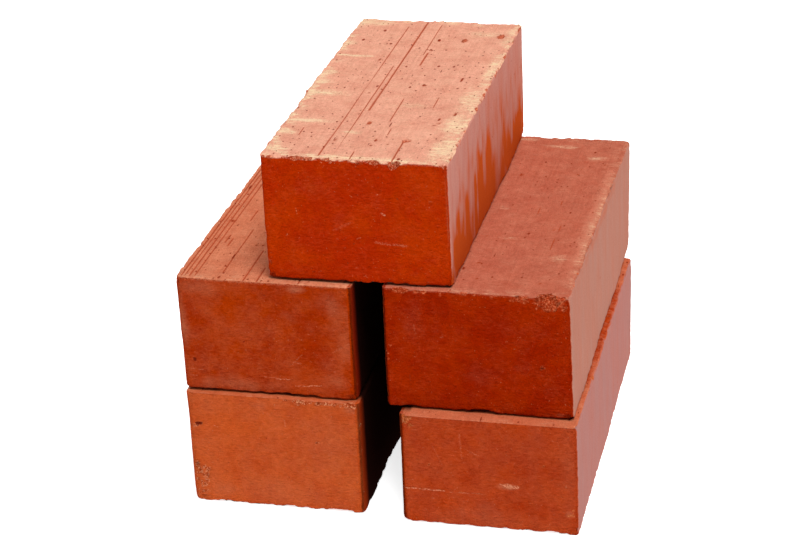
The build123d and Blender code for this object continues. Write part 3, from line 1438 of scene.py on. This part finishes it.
def top_brick() -> Brick:
    """The brick laid across both columns: dusty bed, long drag grooves, bright smeared side.

    Returns:
        The brick.
    """
    grooves = marks(
        Groove,
        (0.425, 0.31, 1.0, 0.55, 0.6, 0.012), (0.325, 0.01, 0.95, 0.32, 0.25, 0.015),
        (0.390, 0.01, 0.64, 0.32, 0.25, 0.012), (0.540, 0.64, 0.75, 0.55, 0.30),
        (0.567, 0.25, 0.41, 0.35, 0.40), (0.705, 0.0, 0.14, 0.5, 0.5), (0.757, 0.35, 0.43, 0.35, 0.30),
        (0.480, 0.0, 0.06, 0.35, 0.40), (0.130, 0.13, 0.19, 0.35, 0.30),
        (0.520, 0.72, 0.97, 0.30, 0.22), (0.600, 0.16, 0.21, 0.35, 0.35),
    )
    bites = [
        *marks_on(
            chip, Face.FRONT,
            (0.19, 1.0, 6.5, 2.2), (0.26, 1.0, 6.0, 1.6), (0.36, 1.0, 4.0, 1.2), (0.60, 1.0, 8.5, 2.6),
            (0.72, 0.985, 7.5, 3.0), (0.86, 1.0, 5.0, 1.8), (0.975, 1.0, 6.0, 3.0),
            (0.015, 0.14, 3.0, 1.6, 0.2), (0.02, 0.02, 5.0, 2.4), (0.30, 0.0, 9.0, 1.6),
            (0.62, 0.0, 12.0, 1.5),
        ),
        *marks_on(
            pit, Face.TOP,
            (0.712, 0.845, 3.0, 6.0, 0.15), (0.915, 0.89, 4.0, 7.0, 0.1), (0.562, 0.84, 1.8, 4.0),
            (0.550, 0.76, 2.0, 3.6), (0.828, 0.555, 1.6, 6.0), (0.285, 0.672, 1.6, 4.2),
            (0.893, 0.318, 1.8, 6.0), (0.83, 0.28, 1.8, 4.2), (0.465, 0.235, 2.2, 5.0, 0.3),
            (0.717, 0.135, 5.0, 5.0, 0.2), (0.637, 0.503, 1.6, 3.0),
        ),
        *rubble(Face.FRONT, (0.62, 0.99), (0.36, 0.015), 12, 1.1, 301),
        *rubble(Face.RIGHT, (0.30, 1.0), (0.30, 0.01), 36, 1.8, 302),
        *rubble(Face.RIGHT, (0.75, 1.0), (0.25, 0.01), 22, 1.5, 303),
        *rubble(Face.LEFT, (0.45, 1.0), (0.45, 0.01), 14, 1.3, 304),
        *rubble(Face.BACK, (0.30, 1.0), (0.28, 0.01), 18, 2.0, 305),
    ]
    patches = [
        *marks_on(
            Patch, Face.RIGHT,
            (0.50, 0.00, 190.0, 66.0, -1.15), (0.12, 0.10, 36.0, 44.0, -0.9),
            (0.36, 0.26, 18.0, 44.0, -1.1), (0.48, 0.44, 9.0, 24.0, -1.0),
            (0.88, 0.04, 48.0, 30.0, -1.1), (0.60, 0.22, 15.0, 34.0, 0.6), (0.25, 0.30, 7.0, 30.0, 0.4),
            (0.33, 0.20, 2.8, 26.0, 1.3),
        ),
        *marks_on(
            Patch, Face.FRONT,
            # painted highlight: the first patch is a thin pale strip along the front's right arris
            (0.99, 0.50, 1.6, 36.0, 0.35), (0.30, 0.76, 22.0, 9.0, 0.05), (0.42, 0.50, 12.0, 7.0, 0.04),
        ),
    ]
    dustings = marks_on(
        Patch, Face.TOP,
        (0.05, 0.05, 12.0, 6.0, 0.9), (0.04, 0.15, 9.0, 5.0, 0.7), (0.12, 0.23, 20.0, 4.0, 1.0),
        (0.10, 0.42, 20.0, 6.0, 1.0), (0.05, 0.50, 12.0, 4.0, 0.8), (0.04, 0.57, 8.0, 6.0, 0.8),
        (0.10, 0.70, 22.0, 2.5, 0.9), (0.03, 0.80, 7.0, 6.0, 0.7), (0.12, 0.965, 16.0, 7.0, 1.0),
        (0.95, 0.10, 11.0, 22.0, 1.0), (0.93, 0.25, 10.0, 22.0, 0.8), (0.94, 0.42, 9.0, 24.0, 0.7),
        (0.97, 0.62, 6.0, 26.0, 0.6), (0.80, 0.90, 14.0, 8.0, 0.5), (0.50, 0.01, 52.0, 5.0, 0.6),
        (0.40, 0.17, 9.0, 4.0, 0.7), (0.62, 0.36, 14.0, 5.0, 0.35),
    )
    scratches = marks(
        Scratch,
        ((0.64, 0.590), (0.66, 0.575), 0.7, 1.0), ((0.60, 0.350), (0.68, 0.335), 0.9, 0.35),
        ((0.70, 0.340), (0.77, 0.330), 0.9, 0.40), ((0.18, 0.60), (0.185, 0.55), 0.35, 0.3),
        ((0.478, 0.72), (0.49, 0.71), 0.4, 0.5), ((0.62, 0.745), (0.63, 0.74), 0.4, 0.6),
        ((0.50, 0.37), (0.52, 0.38), 0.5, 0.35), ((0.665, 0.41), (0.668, 0.405), 0.6, -0.8),
        ((0.38, 0.43), (0.47, 0.50), 0.9, 0.12),
    )
    clay = FiredClay(
        deep=(0.436, 0.0198, 0.0002),
        warm=(0.495, 0.0340, 0.0003),
        crumb=(0.90, 0.34, 0.19),
        side_bloom=(0.537, 0.228, 0.181),
        bed_bloom=(0.93, 0.44, 0.30),
        head_cover=0.0,
        head_mottle=0.20,
        side_mottle=0.8,
        bed_cover=0.86,
        bed_mottle=0.75,
        dusting=1.4,
        rim_dust=0.7,
        pitting=1.4,
        chip_paleness=0.9,
        crevices=0.12,
    )
    return Brick(
        name="top_brick",
        body="top",
        turn=0.0,
        seed=3,
        clay=clay,
        left_round=2.6,
        right_round=2.2,
        arris=1.1,
        ragged=0.75,
        lip=1.5,
        foot_shade=0.6,
        top_drop=(-1.3, 0.0, -2.2, -1.4),
        foot_rise=(0.1, 0.1, 0.0, 0.0),
        flare=1.0,
        bites=bites,
        grooves=grooves,
        patches=patches,
        dustings=dustings,
        scratches=scratches,
    )


def middle_left_brick() -> Brick:
    """The upper brick of the left column: a ribbed bed and a pale, scratched end.

    Returns:
        The brick.
    """
    grooves = marks(
        Groove,
        (0.030, 0.01, 0.80, 0.5, 0.8), (0.052, 0.01, 0.90, 0.4, 0.6), (0.078, 0.01, 0.98, 0.45, 0.7),
        (0.108, 0.01, 0.95, 0.4, 0.5), (0.140, 0.21, 0.27, 0.45, 0.5), (0.170, 0.19, 0.25, 0.45, 0.5),
        (0.196, 0.35, 0.43, 0.4, 0.5), (0.250, 0.04, 0.31, 0.4, 0.6), (0.390, 0.00, 0.19, 0.45, 0.9),
        (0.466, 0.00, 0.09, 0.45, 0.8), (0.700, 0.00, 0.07, 0.45, 0.8),
    )
    bites = [
        *marks_on(
            pit, Face.TOP,
            (0.10, 0.35, 8.0, 3.6), (0.06, 0.37, 5.0, 2.6), (0.20, 0.22, 2.0, 4.0),
            (0.26, 0.24, 3.0, 2.6), (0.196, 0.123, 2.6, 2.6, 0.6), (0.31, 0.20, 1.8, 2.4),
        ),
        *marks_on(
            pit, Face.FRONT,
            (0.075, 0.275, 3.6, 1.6), (0.065, 0.24, 1.8, 1.2, 0.6), (0.37, 0.47, 1.2, 1.2),
        ),
        *marks_on(chip, Face.FRONT, (0.975, 0.03, 6.0, 2.4)),
        *rubble(Face.RIGHT, (0.0, 0.22), (0.01, 0.10), 8, 1.2, 311),
        *rubble(Face.FRONT, (0.70, 0.99), (0.16, 0.012), 16, 1.2, 312),
        *rubble(Face.FRONT, (0.03, 0.99), (0.05, 0.02), 8, 1.3, 313),
        *rubble(Face.LEFT, (0.40, 1.0), (0.40, 0.02), 40, 1.8, 314),
        *rubble(Face.FRONT, (0.25, 0.0), (0.25, 0.01), 12, 1.5, 315),
    ]
    patches = [
        *marks_on(
            Patch, Face.FRONT,
            (0.10, 0.92, 18.0, 7.0, 0.30), (0.02, 0.62, 6.0, 26.0, 0.45), (0.69, 0.95, 7.0, 3.0, 0.50),
            (0.88, 0.84, 9.0, 13.0, 0.28), (0.90, 0.16, 12.0, 8.0, 0.28), (0.30, 0.08, 38.0, 7.0, 0.30),
            (0.95, 0.45, 6.0, 14.0, 0.22), (0.45, 0.60, 20.0, 14.0, 0.08),
        ),
        # painted shade: bloom taken off the inner face's front end, in the gap between the columns
        *marks_on(Patch, Face.RIGHT, (0.00, 0.50, 26.0, 90.0, -1.6)),
    ]
    scratches = marks(
        Scratch,
        ((0.64, 0.29), (0.70, 0.38), 0.6, 0.30), ((0.67, 0.31), (0.69, 0.30), 0.6, 0.35),
        ((0.54, 0.145), (0.62, 0.15), 0.40, 0.75), ((0.46, 0.16), (0.54, 0.155), 0.40, 0.25),
        ((0.65, 0.095), (0.81, 0.115), 0.45, 0.60), ((0.88, 0.42), (0.97, 0.50), 0.7, 0.18),
        ((0.05, 0.185), (0.12, 0.19), 0.5, 0.40), ((0.04, 0.13), (0.08, 0.13), 0.4, 0.30),
    )
    clay = FiredClay(
        deep=(0.354, 0.0225, 0.0003),
        warm=(0.440, 0.0386, 0.0006),
        smear=(0.42, 0.022, 0.002),
        bed_bloom=(0.78, 0.275, 0.145),
        head_cover=0.08,
        head_mottle=0.55,
        bed_mottle=0.6,
        dusting=0.6,
        pitting=1.6,
        bed_cover=0.72,
    )
    return Brick(
        name="middle_left_brick",
        body="middle_left",
        turn=-0.25,
        seed=7,
        clay=clay,
        foot=2.0,
        lip=0.4,
        foot_shade=0.9,
        inner=Face.RIGHT,
        top_drop=(0.3, 0.5, 0.0, 0.0),
        bites=bites,
        grooves=grooves,
        patches=patches,
        scratches=scratches,
    )


def middle_right_brick() -> Brick:
    """The upper brick of the right column: the darkest end, with a broken upper arris.

    Returns:
        The brick.
    """
    grooves = marks(
        Groove,
        (0.642, 0.47, 0.52, 0.35, 0.3), (0.795, 0.26, 0.34, 0.35, 0.3), (0.750, 0.53, 0.57, 0.35, 0.3),
        (0.800, 0.37, 0.42, 0.30, 0.2),
    )
    bites = [
        *marks_on(
            chip, Face.FRONT,
            (0.89, 0.965, 14.0, 5.5), (0.96, 1.0, 7.0, 4.0), (0.45, 1.0, 6.5, 2.8),
            (0.75, 0.985, 9.0, 3.2), (0.32, 1.0, 6.0, 2.0), (0.22, 1.0, 8.0, 2.2),
            (0.10, 0.99, 9.0, 2.8), (0.53, 0.0, 16.0, 2.8), (0.99, 0.01, 5.0, 2.0),
        ),
        *marks_on(
            pit, Face.FRONT,
            (0.85, 0.41, 2.6, 2.4), (0.26, 0.045, 2.2, 2.4), (0.135, 0.175, 1.2, 2.0),
        ),
        *marks_on(
            pit, Face.TOP,
            (0.447, 0.723, 2.4, 4.6), (0.507, 0.748, 1.8, 2.4), (0.784, 0.783, 2.2, 2.6),
            (0.769, 0.743, 2.4, 2.2), (0.912, 0.817, 2.2, 3.0), (0.826, 0.640, 2.0, 2.4),
            (0.925, 0.521, 1.6, 2.4), (0.945, 0.503, 2.0, 2.6), (0.477, 0.083, 2.2, 2.2),
            (0.814, 0.075, 2.6, 1.8), (0.447, 0.170, 2.6, 2.6),
        ),
        *rubble(Face.FRONT, (0.90, 0.955), (0.085, 0.045), 44, 1.7, 321),
        *rubble(Face.FRONT, (0.75, 0.985), (0.05, 0.02), 14, 1.4, 322),
        *rubble(Face.FRONT, (0.18, 0.985), (0.18, 0.015), 34, 1.5, 323),
        *rubble(Face.FRONT, (0.50, 0.99), (0.18, 0.01), 16, 1.2, 324),
        *rubble(Face.FRONT, (0.02, 0.46), (0.02, 0.06), 10, 1.2, 325),
        *rubble(Face.FRONT, (0.93, 0.02), (0.06, 0.015), 10, 1.1, 326),
        *rubble(Face.RIGHT, (0.55, 1.0), (0.45, 0.01), 40, 1.8, 327),
        *rubble(Face.FRONT, (0.40, 0.0), (0.40, 0.008), 26, 1.4, 328),
        *rubble(Face.BACK, (0.30, 1.0), (0.30, 0.01), 16, 1.8, 329),
    ]
    patches = [
        *marks_on(
            Patch, Face.FRONT,
            (0.17, 0.72, 9.0, 16.0, 0.10), (0.52, 0.32, 14.0, 9.0, 0.06), (0.93, 0.04, 4.0, 2.0, 0.3),
        ),
        *marks_on(Patch, Face.RIGHT, (0.50, 0.95, 110.0, 5.0, -0.25)),
        *marks_on(Patch, Face.TOP, (0.96, 0.45, 6.0, 120.0, 0.45)),
    ]
    dustings = marks_on(
        Patch, Face.TOP,
        (0.975, 0.40, 3.5, 80.0, 0.35), (0.86, 0.22, 7.0, 7.0, 0.5), (0.62, 0.93, 18.0, 4.0, 0.6),
        (0.36, 0.97, 12.0, 3.0, 0.6), (0.84, 0.86, 9.0, 5.0, 0.5), (0.55, 0.32, 9.0, 3.0, 0.5),
        (0.44, 0.50, 7.0, 4.0, 0.4),
    )
    scratches = marks(
        Scratch,
        ((0.137, 0.29), (0.137, 0.19), 0.45, -0.85), ((0.17, 0.70), (0.175, 0.62), 0.6, 0.2),
        ((0.32, 0.66), (0.325, 0.60), 0.5, 0.2),
    )
    clay = FiredClay(
        deep=(0.306, 0.0120, 0.0001),
        warm=(0.376, 0.0218, 0.0002),
        side_bloom=(0.436, 0.202, 0.151),
        bed_bloom=(0.617, 0.186, 0.110),
        head_cover=0.0,
        head_mottle=0.26,
        bed_cover=0.72,
        bed_mottle=0.65,
        dusting=0.6,
        pitting=0.6,
        crevices=0.25,
        chip_paleness=0.75,
        rubbing=0.35,
    )
    return Brick(
        name="middle_right_brick",
        body="middle_right",
        turn=-0.75,
        seed=11,
        clay=clay,
        left_round=2.8,
        right_round=2.4,
        foot=1.8,
        ragged=1.2,
        foot_shade=0.9,
        inner=Face.LEFT,
        foot_rise=(-1.0, -1.4, 0.0, 0.0),
        flare=2.0,
        bites=bites,
        grooves=grooves,
        patches=patches,
        dustings=dustings,
        scratches=scratches,
    )


def bottom_left_brick() -> Brick:
    """The lower brick of the left column: the brightest end, with a deep hole and a rough corner.

    Returns:
        The brick.
    """
    bites = [
        *marks_on(pit, Face.FRONT, (0.070, 0.715, 4.6, 2.0, 1.0), (0.75, 0.625, 1.8, 1.8)),
        *marks_on(
            chip, Face.FRONT,
            (0.74, 1.0, 9.0, 1.6), (0.84, 1.0, 7.0, 1.8), (0.95, 0.985, 8.0, 2.6),
            (0.02, 0.35, 4.0, 1.6), (0.04, 0.04, 9.0, 2.6),
        ),
        *rubble(Face.FRONT, (0.05, 0.20), (0.05, 0.19), 90, 1.3, 331, dark=0.3),
        *rubble(Face.FRONT, (0.76, 0.985), (0.22, 0.015), 70, 1.5, 332),
        *rubble(Face.RIGHT, (0.0, 0.5), (0.01, 0.48), 20, 1.1, 333),
        *rubble(Face.FRONT, (0.045, 0.695), (0.015, 0.02), 5, 0.7, 334),
    ]
    patches = [
        *marks_on(
            Patch, Face.FRONT,
            (0.95, 0.94, 6.0, 4.0, 0.3), (0.42, 0.92, 9.0, 5.0, 0.2), (0.20, 0.12, 14.0, 8.0, 0.15),
            (0.55, 0.14, 44.0, 12.0, 0.14), (0.80, 0.60, 20.0, 26.0, 0.12),
            (0.28, 0.68, 24.0, 16.0, -0.10),
        ),
        # painted shade: bloom taken off the inner face's front end, in the gap between the columns
        *marks_on(Patch, Face.RIGHT, (0.00, 0.50, 26.0, 90.0, -1.6)),
    ]
    scratches = marks(
        Scratch,
        ((0.035, 0.69), (0.06, 0.70), 0.6, 0.8), ((0.16, 0.71), (0.18, 0.70), 0.5, 0.5),
        ((0.57, 0.80), (0.575, 0.75), 0.4, 0.4),
    )
    clay = FiredClay(
        deep=(0.496, 0.0622, 0.0107),
        warm=(0.586, 0.0920, 0.0176),
        smear=(0.52, 0.048, 0.006),
        torn=(0.50, 0.070, 0.016),
        crumb=(0.90, 0.40, 0.20),
        bed_bloom=(0.58, 0.13, 0.050),
        head_cover=0.09,
        head_mottle=0.45,
        dusting=0.3,
        chip_paleness=0.8,
        rubbing=0.0,
    )
    return Brick(
        name="bottom_left_brick",
        body="bottom_pair",
        turn=-0.25,
        seed=17,
        clay=clay,
        left_round=4.8,
        right_round=3.0,
        lip=0.0,
        inner=Face.RIGHT,
        bites=bites,
        patches=patches,
        scratches=scratches,
    )


def bottom_right_brick() -> Brick:
    """The lower brick of the right column: a smooth mauve end with one drying crack.

    Returns:
        The brick.
    """
    bites = [
        *marks_on(
            chip, Face.FRONT,
            (0.02, 0.94, 6.0, 3.6), (0.62, 1.0, 4.0, 1.4), (0.98, 0.02, 4.0, 1.6),
        ),
        *marks_on(
            pit, Face.FRONT,
            (0.345, 0.315, 1.6, 1.2), (0.205, 0.325, 1.6, 1.2), (0.29, 0.375, 1.4, 1.0),
            (0.535, 0.495, 1.4, 1.2), (0.81, 0.62, 1.2, 2.0), (0.165, 0.55, 1.2, 1.2),
        ),
        *rubble(Face.FRONT, (0.035, 0.93), (0.035, 0.065), 34, 1.5, 341),
        *rubble(Face.RIGHT, (0.50, 0.995), (0.46, 0.012), 70, 1.9, 342),
        *rubble(Face.FRONT, (0.97, 0.21), (0.02, 0.03), 8, 0.9, 343),
        *rubble(Face.FRONT, (0.50, 0.0), (0.45, 0.008), 20, 1.3, 344),
        *rubble(Face.TOP, (0.965, 0.52), (0.025, 0.44), 60, 1.4, 345),
    ]
    patches = [
        *marks_on(
            Patch, Face.FRONT,
            (0.62, 0.405, 7.0, 2.4, 0.9), (0.50, 0.10, 46.0, 10.0, 0.12), (0.95, 0.60, 8.0, 26.0, 0.12),
            (0.95, 0.20, 3.0, 3.0, 0.3),
        ),
        *marks_on(Patch, Face.TOP, (0.97, 0.55, 7.0, 110.0, -1.0)),
    ]
    scratches = marks(
        Scratch,
        ((0.02, 0.318), (0.25, 0.315), 0.55, 0.8), ((0.02, 0.332), (0.30, 0.327), 0.45, -0.6),
        ((0.28, 0.31), (0.48, 0.312), 0.40, 0.4), ((0.600, 0.408), (0.625, 0.403), 1.7, 0.95),
        ((0.645, 0.400), (0.665, 0.402), 1.4, 0.90), ((0.565, 0.416), (0.600, 0.409), 0.6, 0.6),
        ((0.345, 0.84), (0.355, 0.63), 0.8, 0.22), ((0.38, 0.71), (0.45, 0.665), 0.4, 0.3),
        ((0.52, 0.76), (0.545, 0.70), 0.4, -0.4), ((0.19, 0.72), (0.24, 0.56), 0.5, 0.15),
    )
    clay = FiredClay(
        deep=(0.391, 0.0310, 0.0036),
        warm=(0.475, 0.0472, 0.0051),
        torn=(0.60, 0.120, 0.030),
        crumb=(0.84, 0.32, 0.14),
        side_bloom=(0.414, 0.194, 0.171),
        bed_bloom=(0.66, 0.175, 0.080),
        head_cover=0.10,
        head_mottle=0.36,
        dusting=0.3,
        chip_paleness=0.6,
        rubbing=0.1,
    )
    return Brick(
        name="bottom_right_brick",
        body="bottom_pair",
        turn=-0.50,
        seed=23,
        clay=clay,
        left_round=4.8,
        right_round=2.4,
        arris=1.2,
        lip=0.0,
        inner=Face.LEFT,
        top_drop=(1.3, 1.2, 0.0, 0.3),
        flare=1.0,
        bites=bites,
        patches=patches,
        scratches=scratches,
    )


def main() -> None:
    """Builds the stack, the studio round it and the camera, and notes the sizes."""
    logging.basicConfig(level=logging.INFO, format="%(name)s: %(message)s")
    bpy.context.scene.view_settings.view_transform = "Standard"
    Viewpoint().set_camera()
    studio = Studio()
    studio.lay_floor()
    studio.light()
    for make in (bottom_left_brick, bottom_right_brick, middle_left_brick, middle_right_brick, top_brick):
        brick = make()
        piece = brick.build()
        log.info(
            "%s: %.1f x %.1f x %.1f mm, %d cells",
            piece.name, brick.width, brick.length, brick.height, len(piece.data.polygons),
        )


if __name__ == "__main__":
    main()
